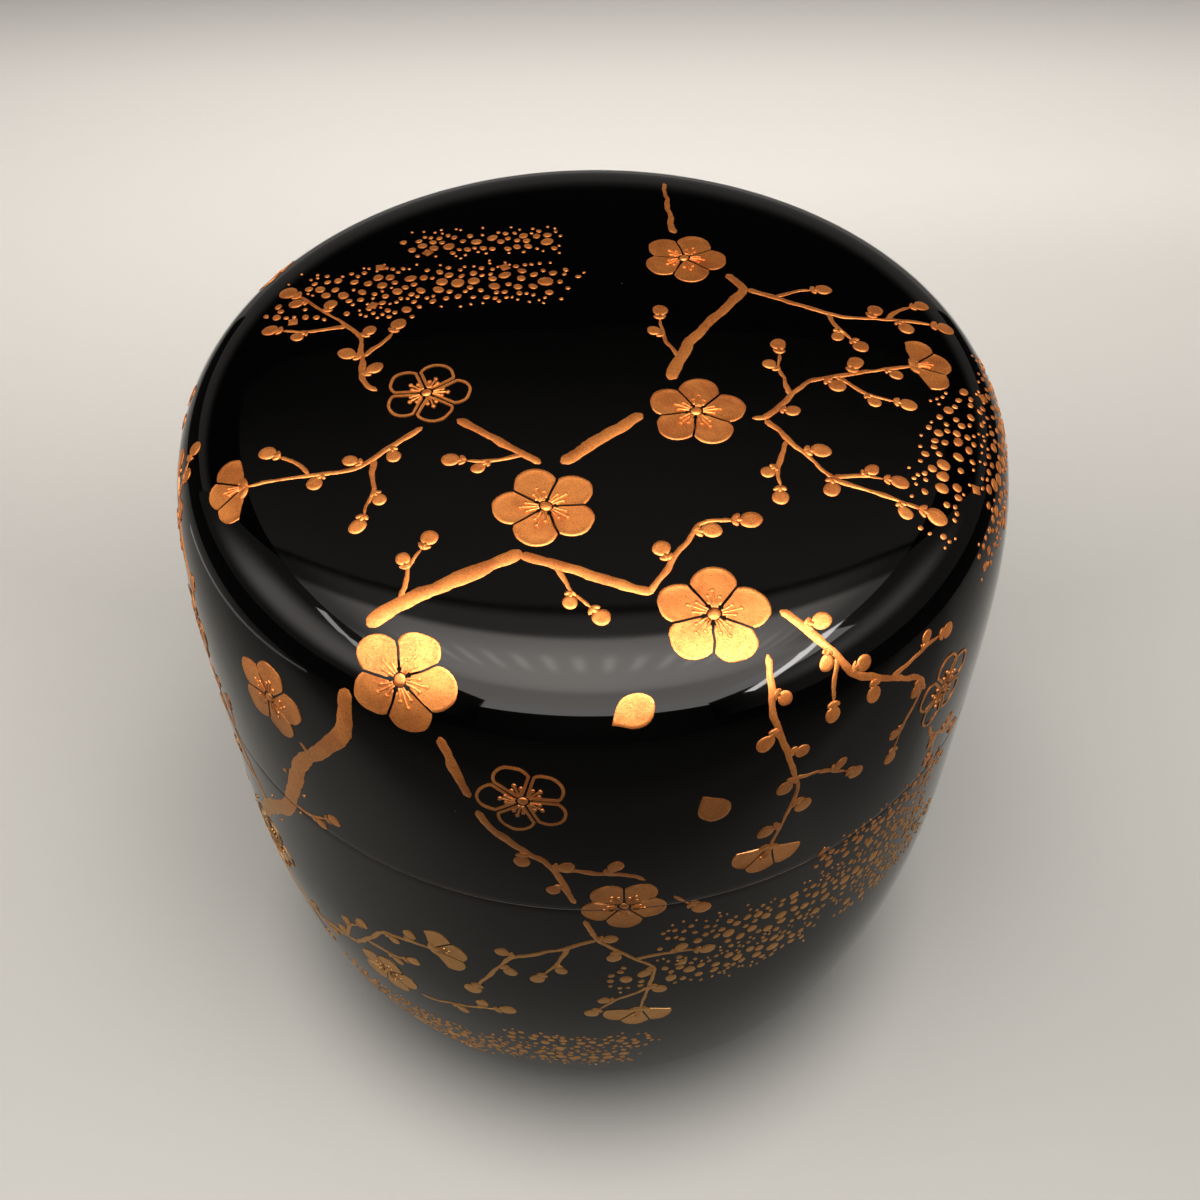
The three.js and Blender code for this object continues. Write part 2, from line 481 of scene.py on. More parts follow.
class Drawing:
    """Closed pieces of gold that end up in one mesh. Radii, heights and reaches are in millimetres."""

    def __init__(self, shapes):
        self.shapes = shapes
        self.points, self.faces, self.count = [], [], 0

    def add(self, points, faces):
        self.points.append(points)
        self.faces.extend(tuple(index + self.count for index in face) for face in faces)
        self.count += len(points)

    def stamp(self, name, centre, upward, turn=0.0, grow=1.0):
        points, faces = self.shapes[name]
        self.add(drawn(flat_turn(points, turn, grow), centre, upward), faces)

    def bead(self, centre, upward, radius, height, shift=(0, 0), stretch=1.0, turn=0.0):
        points, faces = self.shapes["bead"]
        flat = flat_turn(points * (radius * stretch, radius / stretch, 1), turn, shift=shift)
        flat[:, 2] = np.where(flat[:, 2] > 0, flat[:, 2] * (height * MM) / points[:, 2].max(), flat[:, 2])
        self.add(drawn(flat, centre, upward), faces)

    def stamen(self, centre, upward, turn, reach):
        points, faces = self.shapes["stamen"]
        line = points * (1, reach - 0.5, 1) + (0, 0.5 * MM, 0)
        self.add(drawn(flat_turn(line, turn), centre, upward), faces)
        tip = flat_turn(np.array([[0, reach * MM, 0]]), turn)[0]
        self.bead(centre, upward, 0.17, 0.12, tip[:2])

    def blossom(self, centre, upward, radius, turn, outlined):
        grow = radius / 4
        petal = "outlined_petal" if outlined else "petal"
        for petal_turn in range(turn, turn + 360, PETAL_TURN):
            self.stamp(petal, centre, upward, petal_turn, grow)
            for lean, reach in STAMENS:
                self.stamen(centre, upward, petal_turn + lean, reach * grow)
        self.bead(centre, upward, 0.45 * grow, 0.13)

    def bud(self, centre, upward, grow):
        self.stamp("bud", centre, upward, grow=grow)
        for lean in (-50, 0, 50):
            self.stamp("sepal", centre, upward, lean, grow)

    def half_flower(self, centre, upward):
        """A blossom seen from the side: three petals that open above a calyx."""
        for lean in (-54, 0, 54):
            self.stamp("fan_petal", centre, upward, lean, 0.8)
        for lean in (-12, 0, 12):
            self.stamen(centre, upward, lean, 1.7 - abs(lean) / 40)
        for lean in (-64, 0, 64):
            self.stamp("sepal", centre, upward, lean, 1.05)


# Brush strokes

BRUSH_STEP = 0.3 * MM
BRUSH_SOFTENING = 8
BRUSH_SECTION = ((-1, -1), (-1, 0.4), (-0.84, 0.94), (0, 1), (0.84, 0.94), (1, 0.4), (1, -1))
SHORTEST_STROKE = 4
EDGE_ROUGHNESS = 0.02 * MM
RESERVE = 0.3 * MM


def brush_path(corners, widths):
    """Points along a line through places on the lacquer, with soft corners, and the widths there."""
    points, spans = [corners[:1]], [np.array(widths[:1])]
    for start, end, from_width, to_width in zip(corners, corners[1:], widths, widths[1:]):
        count = max(int(np.linalg.norm(end - start) / BRUSH_STEP), 2)
        share = np.linspace(0, 1, count + 1)[1:, None]
        points.append(start + (end - start) * share)
        spans.append(from_width + (to_width - from_width) * share[:, 0])
    path = laid(np.vstack(points))[0]
    for _ in range(BRUSH_SOFTENING):
        path[1:-1] = (path[:-2] + 2 * path[1:-1] + path[2:]) / 4
    return laid(unsteady(path))[0], np.concatenate(spans)


def directions(path):
    along = np.gradient(path, axis=0)
    return along / np.linalg.norm(along, axis=1)[:, None]


def brush_stroke(drawing, path, widths, height, chance):
    """A raised line of gold along a path, with rounded ends and slightly uneven edges."""
    gone = lengths_along(path)
    to_end = np.clip(np.minimum(gone, gone[-1] - gone) / (widths / 2), 0.03, 1)
    half = widths / 2 * np.sqrt(1 - (1 - to_end) ** 2)
    rise = height * np.sqrt(to_end)
    sideways = np.cross(directions(path), laid(path)[1])
    rough = chance.normal(0, 1, (2, len(path) + 2))
    rough = (rough[:, :-2] + rough[:, 1:-1] + rough[:, 2:]) * EDGE_ROUGHNESS * to_end
    lines = []
    for across, up in BRUSH_SECTION:
        edge = half * across + rough[int(across > 0)] * across
        lift = rise * up if up > 0 else np.full(len(path), -GOLD_SINK)
        lines.append(laid(path + sideways * edge[:, None], lift)[0])
    points = np.stack(lines, axis=1).reshape(-1, 3)
    ring = len(BRUSH_SECTION)
    faces = [tuple(range(ring)), tuple(range(len(points) - ring, len(points)))]
    for first in range(0, len(points) - ring, ring):
        for index in range(first, first + ring):
            following = index + 1 if index + 1 < first + ring else first
            faces.append((index, following, following + ring, index + ring))
    drawing.add(points, faces)


def reserved_stroke(drawing, path, widths, height, blossoms, chance):
    """A stroke that stops short of each blossom, so that a black line stays round it."""
    free = np.ones(len(path), bool)
    for centre, radius in blossoms:
        free &= np.linalg.norm(path - centre, axis=1) > radius + RESERVE
    runs = np.flatnonzero(np.diff(np.concatenate(([False], free, [False])).astype(int)))
    for start, end in zip(runs[::2], runs[1::2]):
        if end - start >= SHORTEST_STROKE:
            brush_stroke(drawing, path[start:end], widths[start:end], height, chance)


# The drawing: a plum branch in blossom, and bands of mist. Places are azimuth in degrees
# and way down in millimetres; widths and radii are in millimetres.

BRANCH = (
    ((-150, 84), 1.9), ((-130, 76), 1.8), ((-108, 76), 1.7), ((-86, 68), 1.6), ((-66, 68), 1.5),
    ((-54, 58), 1.45), ((-46, 53), 1.4), ((-40, 44), 1.3), ((-31, 37), 1.25), ((-31, 28), 1.2),
    ((-14, 20), 1.1), ((-14, 12), 1.0), ((38, 7), 0.95), ((108, 8), 0.85), ((126, 15), 0.75),
    ((158, 18), 0.6), ((166, 26), 0.3),
)

# Stops, width at the start, and what the twig ends in
TWIGS = (
    (((-31, 28), (-19, 33), (-13, 42), (-5, 46), (0, 56), (8, 61), (6, 68)), 0.8, "flower"),
    (((-5, 46), (5, 47), (12, 52)), 0.5, "bud"),
    (((0, 56), (-12, 60), (-17, 66)), 0.5, "bud"),
    (((-14, 20), (9, 23), (24, 25), (33, 33), (44, 37), (49, 46), (57, 50)), 0.8, "bud"),
    (((24, 25), (21, 33), (25, 41), (22, 47)), 0.55, "flower"),
    (((9, 23), (24, 18), (30, 19)), 0.5, "bud"),
    (((-14, 12), (-62, 12), (-82, 17), (-102, 18), (-112, 25)), 0.7, "bud"),
    (((-62, 12), (-56, 20), (-64, 27)), 0.55, "flower"),
    (((38, 7), (62, 14), (82, 16), (90, 24)), 0.7, "flower"),
    (((62, 14), (53, 21), (57, 27)), 0.5, "bud"),
    (((-54, 58), (-64, 48), (-66, 38), (-78, 33)), 0.8, "bud"),
    (((-64, 48), (-74, 46), (-82, 50)), 0.5, "bud"),
    (((-66, 68), (-50, 72), (-38, 69), (-27, 73), (-15, 70)), 0.8, "bud"),
    (((-38, 69), (-31, 63), (-23, 62)), 0.5, "flower"),
    (((-86, 68), (-100, 58), (-104, 46), (-116, 40), (-120, 32)), 0.85, "flower"),
    (((-104, 46), (-94, 40), (-93, 33)), 0.5, "bud"),
    (((-130, 76), (-146, 68), (-158, 70), (-172, 62), (176, 60)), 0.8, "flower"),
    (((-146, 68), (-150, 58), (-160, 52)), 0.55, "bud"),
    (((126, 15), (106, 20), (102, 27)), 0.5, "bud"),
)
TWIG_TIP = 0.25
BRANCH_HEIGHT = 0.045 * MM
TWIG_HEIGHT = 0.036 * MM
SPUR_HEIGHT = 0.032 * MM

# Azimuth, way down, radius, turn and whether the petals are only outlined
BLOSSOMS = (
    (-24, 31, 3.9, 12, False), (-8.5, 38.5, 3.3, 50, True), (-44, 38.5, 3.4, 80, False),
    (17.5, 25.5, 3.8, 20, False), (50, 41, 3.3, 0, True), (-12, 15.5, 3.7, 40, False),
    (-74, 12.5, 3.3, 15, True), (52, 9.5, 3.6, 60, False), (150, 15, 3.4, 30, False),
    (-57, 65, 3.4, 20, True), (3.5, 51, 3.2, 35, False), (-92, 72, 3.7, 0, False),
    (-103, 52, 3.4, 30, False), (-150, 65, 3.6, 10, False), (-68, 43, 3.1, 0, False),
    (-33, 71.5, 3.0, 15, False),
)

# Petals that the wind has taken: azimuth, way down, turn
FALLEN = ((5, 31, 60), (14, 40.5, 150), (118, 40, 30), (-128, 58, 250))

# Azimuth, way down, length, half height and turn of each bar of mist
MIST = (
    (31, 58, 30, 2.7, 0), (43, 53, 17, 2.0, 0), (17, 62.5, 19, 2.1, 0), (48, 63, 15, 1.8, 0),
    (-128, 16, 24, 2.4, -128), (-112, 20, 14, 1.8, -112), (-150, 18, 14, 1.7, -150),
    (-20, 80, 32, 2.5, 0), (-34, 85.5, 17, 1.9, 0), (-3, 75.5, 15, 1.8, 0),
    (70, 27, 17, 2.0, 0), (82, 31.5, 19, 2.2, 0), (66, 33.5, 9, 1.5, 0),
    (150, 46, 34, 2.7, 0), (168, 41, 19, 2.0, 0), (135, 51, 18, 2.0, 0),
    (108, 75, 32, 2.6, 0), (92, 80, 18, 1.9, 0), (122, 70, 16, 1.8, 0),
    (-118, 88, 24, 2.2, 0), (-104, 84, 13, 1.6, 0),
)


class Line:
    """A painted line: its middle, widths, direction, way across and length so far."""

    def __init__(self, path, spans):
        self.path, self.spans = path, spans
        self.along = directions(path)
        self.across = np.cross(self.along, laid(path)[1])
        self.gone = lengths_along(path)

    def distances(self, place):
        return np.linalg.norm(self.path - place, axis=1)


# How unevenly the width of a line runs
UNEVEN = 0.07

# Widths of a spur at its foot, knee and tip, and of a stalk at its foot and end
SPUR_WIDTHS = (0.42, 0.32, 0.22)
STALK_WIDTHS = (0.4, 0.3)

# Sizes of buds at the tips of twigs and spurs and at a spur's knee; where the middle of a
# bud lies and what room it takes, for a size of 1 mm
TIP_BUD = 0.72
SPUR_BUD = 0.6
KNEE_BUD = 0.5
BUD_MIDDLE = 1.6
BUD_ROOM = 1.2

# How far past the tip the middle of a half flower lies, and what room it takes
HALF_FLOWER_MIDDLE = 1.8 * MM
HALF_FLOWER_ROOM = 2.2 * MM
TIP_OVERLAP = 0.15 * MM

# What room a fallen petal takes, and how much must be free for a bud on the wood
FALLEN_ROOM = 3.2 * MM
SIDE_BUD_ROOM = 0.95 * MM


class Plum:
    """The branch as it grows: its lines, and what already has a place on the lacquer."""

    def __init__(self, shapes, chance):
        self.chance = chance
        self.branch, self.flowers = Drawing(shapes), Drawing(shapes)
        self.blossoms = [(spot(azimuth, way)[0], radius * MM) for azimuth, way, radius, _, _ in BLOSSOMS]
        self.taken = list(self.blossoms)
        self.lines = []

    def line(self, corners, widths, height):
        path, spans = brush_path(np.array(corners), np.array(widths) * MM)
        uneven = np.convolve(self.chance.normal(0, 1, len(path) + 8), np.full(9, 1 / 3), mode="valid")
        spans = spans * (1 + UNEVEN * uneven)
        reserved_stroke(self.branch, path, spans, height, self.blossoms, self.chance)
        self.lines.append(Line(path, spans))

    def is_free(self, place, radius, own=None):
        """Whether a round place is clear of blossoms, buds and every line but its own."""
        if any(np.linalg.norm(place - centre) < size + radius for centre, size in self.taken):
            return False
        others = (line for number, line in enumerate(self.lines) if number != own)
        return all(line.distances(place).min() >= radius for line in others)

    def shows(self, place):
        """Whether a place on a line is drawn, and not hidden behind a blossom."""
        return all(np.linalg.norm(place - centre) > radius + 2 * RESERVE
                   for centre, radius in self.blossoms)

    def bud(self, start, upward, size):
        self.flowers.bud(start, upward, size)
        middle = start + upward / np.linalg.norm(upward) * size * MM * BUD_MIDDLE
        self.taken.append((middle, size * BUD_ROOM * MM))

    def tip(self, line, ending):
        onward = line.along[-1]
        start = line.path[-1] - onward * TIP_OVERLAP
        if ending == "flower":
            self.flowers.half_flower(start, onward)
            self.taken.append((start + onward * HALF_FLOWER_MIDDLE, HALF_FLOWER_ROOM))
        else:
            self.bud(start, onward, TIP_BUD)

    def sides(self, line, start, end, spacing, vary, side):
        """Places along a line, now on its left and now on its right, and the way out there."""
        while start < line.gone[-1] - end:
            index = int(np.searchsorted(line.gone, start))
            start += self.chance.uniform(1 - vary, 1 + vary) * spacing * MM
            side = -side
            yield line.path[index], line.along[index], line.across[index] * side, line.spans[index]

    def spurs(self, number, spacing, longest):
        """Short side shoots with a bud at the tip."""
        first_side = 1 if number % 2 else -1
        sides = self.sides(self.lines[number], 2.2 * MM, 2 * MM, spacing, 0.25, first_side)
        for foot, along, across, _ in sides:
            length = self.chance.uniform(0.55, 1) * longest * MM
            lean = math.radians(self.chance.uniform(38, 58))
            heading = along * math.cos(lean) + across * math.sin(lean)
            bent = along * math.cos(lean * 0.6) + across * math.sin(lean * 0.6)
            knee = foot + heading * length * 0.6
            end = knee + bent * length * 0.4
            clear = self.is_free(end + bent * MM, 1.5 * MM) and self.is_free(knee, 1.1 * MM, number)
            if clear and self.shows(foot):
                self.line((foot, knee, end), SPUR_WIDTHS, SPUR_HEIGHT)
                self.bud(laid(end[None])[0][0], bent, SPUR_BUD)
                outward = heading * 0.4 + across
                if length > 3.6 * MM and self.is_free(knee + outward * MM, 0.6 * MM, len(self.lines) - 1):
                    self.bud(laid(knee[None])[0][0], outward, KNEE_BUD)

    def side_buds(self, number, spacing):
        """Buds that sit straight on the wood."""
        line = self.lines[number]
        for foot, along, across, span in self.sides(line, line.gone[-1] * 0.3, 1.5 * MM, spacing, 0.2, 1):
            start = foot + across * span / 2.6
            if self.is_free(start + across * 1.2 * MM, SIDE_BUD_ROOM, number) and self.shows(foot):
                self.bud(start, across + along * 0.7, self.chance.uniform(0.5, 0.66))

    def stalk(self, centre, radius):
        """A short line to a blossom that stands off the nearest twig."""
        line = min(self.lines, key=lambda other: other.distances(centre).min())
        nearest = line.path[line.distances(centre).argmin()]
        if np.linalg.norm(nearest - centre) > radius + RESERVE:
            self.line((nearest, centre), STALK_WIDTHS, SPUR_HEIGHT)

    def moss(self):
        """Small dots of gold along the old wood."""
        wood = self.lines[0]
        for index in range(6, len(wood.path) // 2, 3):
            if self.chance.uniform() < 0.45:
                side = self.chance.choice((-1, 1))
                away = wood.spans[index] / 2 + self.chance.uniform(0.3, 0.8) * MM
                place = wood.path[index] + wood.across[index] * side * away
                radius = self.chance.uniform(0.12, 0.24)
                if self.is_free(place, 0.3 * MM, 0):
                    self.branch.bead(place, wood.along[index], radius, 0.08)

    def grow(self):
        stops, widths = zip(*BRANCH)
        self.line([spot(*stop)[0] for stop in stops], widths, BRANCH_HEIGHT)
        for stops, width, _ in TWIGS:
            widths = np.linspace(width, TWIG_TIP, len(stops))
            self.line([spot(*stop)[0] for stop in stops], widths, TWIG_HEIGHT)
        for line, (_, _, ending) in zip(self.lines[1:], TWIGS):
            self.tip(line, ending)
        for centre, radius in self.blossoms:
            self.stalk(centre, radius)
        for azimuth, way, radius, turn, outlined in BLOSSOMS:
            self.flowers.blossom(*spot(azimuth, way), radius, turn, outlined)
        for azimuth, way, turn in FALLEN:
            centre, upward = spot(azimuth, way)
            self.flowers.stamp("fallen_petal", centre, upward, turn, 0.9)
            self.taken.append((centre, FALLEN_ROOM))
        self.spurs(0, 9, 7)
        for number in range(1, len(TWIGS) + 1):
            self.spurs(number, 5.5, 5.5)
        for number in range(1, len(TWIGS) + 1):
            self.side_buds(number, 2.6)
        self.moss()


# Least black left round each bead of mist: to other beads, to lines and to blossoms
BEAD_GAP = 0.12 * MM
LINE_GAP = 0.3 * MM
BLOSSOM_GAP = 0.35 * MM
BEADS_PER_AREA = 20


def crowded(place, others, sizes, gap):
    """Whether a place lies within the gap of any other, each with a size of its own."""
    return len(others) > 0 and (np.linalg.norm(others - place, axis=1) - sizes).min() < gap


def draw_mist(drawing, plum):
    """Bars of scattered beads, coarse in the middle and fine at the fringe, with a few cut squares."""
    chance = plum.chance
    lines = np.vstack([line.path for line in plum.lines])
    reach = np.concatenate([line.spans / 2 for line in plum.lines])
    middles = np.array([middle for middle, _ in plum.taken])
    radii = np.array([size for _, size in plum.taken])
    kept, sizes = np.zeros((0, 3)), np.zeros(0)
    for azimuth, way, length, half, turn in MIST:
        centre, upward = spot(azimuth, way)
        for _ in range(int(length * half * BEADS_PER_AREA)):
            across = chance.uniform(-0.5, 0.5) * length
            along = chance.normal(0, 0.62) * half
            end = max(abs(across) - (length / 2 - half), 0)
            fringe = math.hypot(end, along) / half
            radius = max((0.62 - 0.4 * fringe) * chance.uniform(0.42, 1.0), 0.13)
            to_tip = (length / 2 - abs(across)) / (2.4 * half)
            if fringe > 1.35 or chance.uniform() < max(0.5 * (fringe > 1), 1 - to_tip):
                continue
            place = drawn(flat_turn(np.array([[across * MM, along * MM, 0]]), turn), centre, upward)[0]
            room = radius * MM
            if crowded(place, kept, sizes, room + BEAD_GAP):
                continue
            if crowded(place, lines, reach, room + LINE_GAP):
                continue
            if crowded(place, middles, radii, room + BLOSSOM_GAP):
                continue
            kept, sizes = np.vstack((kept, place)), np.append(sizes, room)
            if chance.uniform() < 0.05 and fringe > 0.7:
                drawing.stamp("cut_square", place, upward, chance.uniform(0, 90), 0.7)
            else:
                drawing.bead(place, upward, radius, 0.04 + 0.06 * radius,
                             stretch=chance.uniform(0.92, 1.12), turn=chance.uniform(0, 180))


# Where each body's gold is cut at the seam, and the side that goes
SEAM_CUTS = {"lid": (SEAM_HEIGHT + SEAM_GAP + SEAM_ARRIS, -1), "jar": (SEAM_HEIGHT - SEAM_ARRIS, 1)}
GOLD_SMOOTHING = math.radians(40)


def gold_piece(drawing, name, body, material):
    """The part of a drawing on one side of the seam, as a piece of its own."""
    mesh = bpy.data.meshes.new(name)
    mesh.from_pydata(np.vstack(drawing.points).tolist(), [], drawing.faces)
    piece = bpy.data.objects.new(name, mesh)
    bpy.context.scene.collection.objects.link(piece)
    select_none()
    piece.select_set(True)
    bpy.context.view_layer.objects.active = piece
    bpy.ops.object.mode_set(mode="EDIT")
    height, side = SEAM_CUTS[body]
    cut_off((0, 0, height), (0, 0, side))
    leave_mesh()
    bpy.ops.object.shade_smooth_by_angle(angle=GOLD_SMOOTHING)
    piece.data.materials.append(material)
    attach(piece, body)


def lay_gold(material):
    shapes = {
        "petal": petal_stamp(36), "fan_petal": petal_stamp(27), "outlined_petal": outlined_petal_stamp(),
        "fallen_petal": fallen_petal_stamp(), "bead": bead_stamp(), "bud": bud_stamp(),
        "sepal": sepal_stamp(), "stamen": stamen_stamp(), "cut_square": cut_square_stamp(),
    }
    plum, mist = Plum(shapes, np.random.RandomState(7)), Drawing(shapes)
    plum.grow()
    draw_mist(mist, plum)
    for name, drawing in (("branch", plum.branch), ("blossoms", plum.flowers), ("mist", mist)):
        gold_piece(drawing, "lid_" + name, "lid", material)
        gold_piece(drawing, "body_" + name, "jar", material)


# Materials

WARM_WHITE = (1, 0.96, 0.93, 1)
BLACK = (0, 0, 0, 1)


class Shading:
    """A node tree, with short names for the nodes that are used often."""

    def __init__(self, tree, place):
        self.tree, self.place = tree, place

    def add(self, kind, inputs, **settings):
        """The outputs of a new node, with its inputs set to values or fed from sockets."""
        node = self.tree.nodes.new("ShaderNode" + kind)
        for setting, value in settings.items():
            setattr(node, setting, value)
        self.feed(node, inputs)
        return node.outputs

    def feed(self, node, inputs):
        for label, given in inputs.items():
            if isinstance(given, bpy.types.NodeSocket):
                self.tree.links.new(given, node.inputs[label])
            else:
                node.inputs[label].default_value = given

    def math(self, operation, *values):
        return self.add("Math", dict(enumerate(values)), operation=operation)["Value"]

    def times(self, product, *factors):
        for factor in factors:
            product = self.math("MULTIPLY", product, factor)
        return product

    def plus(self, total, *terms):
        for term in terms:
            total = self.math("ADD", total, term)
        return total

    def step(self, value, low, high, top=1):
        """0 up to low and top from high, or the other way round where low is the higher."""
        limits = {"Value": value, "From Min": low, "From Max": high, "To Max": top}
        return self.add("MapRange", limits, interpolation_type="SMOOTHSTEP")["Result"]

    def between(self, share, low, high):
        """A number that runs from low to high as the share runs from 0 to 1."""
        return self.add("MapRange", {"Value": share, "To Min": low, "To Max": high})["Result"]

    def blend(self, share, first, second):
        """A colour between two others."""
        return self.add("Mix", {"Factor": share, "A": first, "B": second}, data_type="RGBA")["Result"]

    def axes(self):
        split = self.add("SeparateXYZ", {"Vector": self.place})
        return split["X"], split["Y"], split["Z"]

    def noise(self, scale, detail=2, roughness=0.5, place=None):
        inputs = {"Vector": place or self.place, "Scale": scale, "Detail": detail, "Roughness": roughness}
        return self.add("TexNoise", inputs)["Fac"]

    def cells(self, scale):
        """Cells of about 1 / scale metres: how far its middle is, and two random numbers of each."""
        cells = self.add("TexVoronoi", {"Vector": self.place, "Scale": scale})
        chosen = self.add("SeparateColor", {"Color": cells["Color"]})
        return cells["Distance"], chosen["Red"], chosen["Green"]

    def bump(self, height, strength=1):
        """The normal of a surface raised by a height in metres."""
        return self.add("Bump", {"Height": height, "Strength": strength, "Distance": 1})["Normal"]

    def use(self, group, **inputs):
        return self.add("Group", {"Place": self.place, **inputs}, node_tree=group)


def coordinates(tree, kind="Object"):
    return tree.nodes.new("ShaderNodeTexCoord").outputs[kind]


def new_material(name):
    material = bpy.data.materials.new(name)
    material.use_nodes = True
    tree = material.node_tree
    return material, Shading(tree, coordinates(tree)), tree.nodes["Principled BSDF"]


def new_group(name, inputs, outputs):
    """A group that takes a place and some numbers and gives numbers."""
    tree = bpy.data.node_groups.new(name, "ShaderNodeTree")
    tree.interface.new_socket(name="Place", in_out="INPUT", socket_type="NodeSocketVector")
    for label in inputs:
        tree.interface.new_socket(name=label, in_out="INPUT", socket_type="NodeSocketFloat")
    for label in outputs:
        tree.interface.new_socket(name=label, in_out="OUTPUT", socket_type="NodeSocketFloat")
    given = tree.nodes.new("NodeGroupInput").outputs
    return Shading(tree, given["Place"]), given, tree.nodes.new("NodeGroupOutput")


# Relief of the lacquer's waves and hairlines and of the gold's grain, in metres
WAVE_HEIGHT = 1.2e-5
HAIRLINE_DEPTH = -4e-7
GRAIN_DEPTH = 6e-6


def rubbed_group():
    """What polishing by hand leaves: a soft waviness, cloudy gloss and faint hairlines."""
    group, given, result = new_group("hand_rubbed", ("Waviness", "Hairlines"), ("Cloud", "Lines", "Height"))
    cloud = group.noise(70)
    along_rub = group.add("Mapping", {
        "Vector": group.place, "Rotation": (0.5, 0.3, 0.8), "Scale": (3200, 130, 130),
    })["Vector"]
    streaks = group.step(group.noise(1, 1, place=along_rub), 0.62, 0.8)
    patches = group.step(group.noise(140), 0.5, 0.75)
    lines = group.times(streaks, patches, given["Hairlines"])
    wave = group.times(cloud, given["Waviness"], WAVE_HEIGHT)
    height = group.plus(wave, group.times(lines, HAIRLINE_DEPTH))
    group.feed(result, {"Cloud": cloud, "Lines": lines, "Height": height})
    return group.tree


def dust_group():
    """A few specks of dust that settled on the surface."""
    group, given, result = new_group("settled_dust", ("Amount",), ("Specks",))
    distance, chance, size = group.cells(420)
    chosen = group.math("LESS_THAN", chance, given["Amount"])
    near = group.math("LESS_THAN", distance, group.between(size, 0.012, 0.03))
    group.feed(result, {"Specks": group.times(chosen, near)})
    return group.tree


# Tones of the lacquer: darker and lighter black, the brown under it, and dust on it
DEEP_BLACK = (0.0235, 0.0228, 0.0222, 1)
SOFT_BLACK = (0.0255, 0.0247, 0.0238, 1)
WORN_BROWN = (0.036, 0.026, 0.022, 1)
LACQUER_DUST = (0.09, 0.085, 0.08, 1)
LACQUER_EDGE_TINT = (0.62, 0.62, 0.62, 1)
LACQUER_IOR = 1.37
GLOSS_CHANGE = 0.012


def lacquer_material(name, rubbed, dust, gloss, hairlines, worn_edges):
    """Black lacquer; where an edge is polished thin, the brown under the black shows a little."""
    material, shade, shader = new_material(name)
    rub = shade.use(rubbed, Waviness=1, Hairlines=hairlines)
    specks = shade.use(dust, Amount=0.05)["Specks"]
    height = shade.axes()[2]
    colour = shade.blend(shade.step(rub["Cloud"], 0.3, 0.7), DEEP_BLACK, SOFT_BLACK)
    for edge, reach in worn_edges:
        thin = shade.step(shade.math("ABSOLUTE", shade.math("SUBTRACT", height, edge)), reach, 0)
        patchy = shade.times(thin, shade.step(shade.noise(400), 0.35, 0.7))
        colour = shade.blend(patchy, colour, WORN_BROWN)
    roughness = shade.plus(shade.between(rub["Cloud"], gloss - GLOSS_CHANGE, gloss + GLOSS_CHANGE),
                           shade.times(rub["Lines"], 0.12), shade.times(specks, 0.5))
    shade.feed(shader, {
        "Base Color": shade.blend(specks, colour, LACQUER_DUST), "Roughness": roughness,
        "Normal": shade.bump(rub["Height"]), "Metallic": 1, "IOR": LACQUER_IOR,
        "Specular Tint": LACQUER_EDGE_TINT,
    })
    return material


def powder_group():
    """Gold powder laid on wet lacquer: its grain, and how thickly it lies."""
    group, given, result = new_group("sprinkled_powder", ("Depth",), ("Grain", "Thickness", "Height"))
    distance, chance, _ = group.cells(16000)
    fine = group.noise(7000, 3, 0.7)
    height = group.times(group.math("SUBTRACT", fine, distance), given["Depth"])
    grain = group.plus(group.times(chance, 0.5), group.times(fine, 0.5))
    group.feed(result, {"Grain": grain, "Thickness": group.noise(420, 4, 0.6), "Height": height})
    return group.tree


# Tones of the gold: where the powder lies thin and thick, its grains, and the painted shade down the side
# and on the flank
THIN_GOLD = (0.64, 0.18, 0.038, 1)
THICK_GOLD = (0.88, 0.3, 0.066, 1)
DARK_GRAIN = (0.42, 0.11, 0.022, 1)
BRIGHT_GRAIN = (0.98, 0.42, 0.12, 1)
PAINTED_SIDE_SHADE = (0.042, 0.037, 0.016, 1)
PAINTED_FLANK_SHADE = (0.25, 0.165, 0.056, 1)
GOLD_DUST = (0.1, 0.09, 0.08, 1)
GOLD_EDGE_TINT = (0.88, 0.6, 0.34, 1)


def gold_material(dust):
    """Gold powder under clear lacquer, browner where it lies thin, with painted shade that darkens it down
    the side and dulls it towards the table.
    """
    material, shade, shader = new_material("gold_powder")
    powder = shade.use(powder_group(), Depth=GRAIN_DEPTH)
    specks = shade.use(dust, Amount=0.03)["Specks"]
    height = shade.axes()[2]
    colour = shade.blend(shade.step(powder["Thickness"], 0.32, 0.62), THIN_GOLD, THICK_GOLD)
    for share, tone in (
        (shade.step(powder["Grain"], 0.42, 0.18), DARK_GRAIN),
        (shade.step(powder["Grain"], 0.62, 0.85), BRIGHT_GRAIN),
        # Painted shade: the gold darkens down the side and dulls on the flank towards the table.
        (shade.step(height, 64 * MM, 54 * MM, 0.6), PAINTED_SIDE_SHADE),
        (shade.step(height, 47 * MM, 34 * MM, 0.5), PAINTED_FLANK_SHADE),
        (specks, GOLD_DUST),
    ):
        colour = shade.blend(share, colour, tone)
    shade.feed(shader, {
        "Base Color": colour, "Metallic": 1, "Specular Tint": GOLD_EDGE_TINT,
        "Roughness": shade.between(powder["Grain"], 0.56, 0.26), "Coat Weight": 0.4,
        "Coat Roughness": 0.3, "Normal": shade.bump(powder["Height"], 0.45),
    })
    return material


# The stage: camera, floor and lamps

PHOTO_SIZE = 1200
LENS_PIXELS = 1425
PRINCIPAL_X = 594.4
PRINCIPAL_Y = 651.1
CAMERA_PITCH = math.radians(50.28)
CAMERA_ROLL = -0.0084
CAMERA_DISTANCE = 131.9 * MM
SENSOR = 36


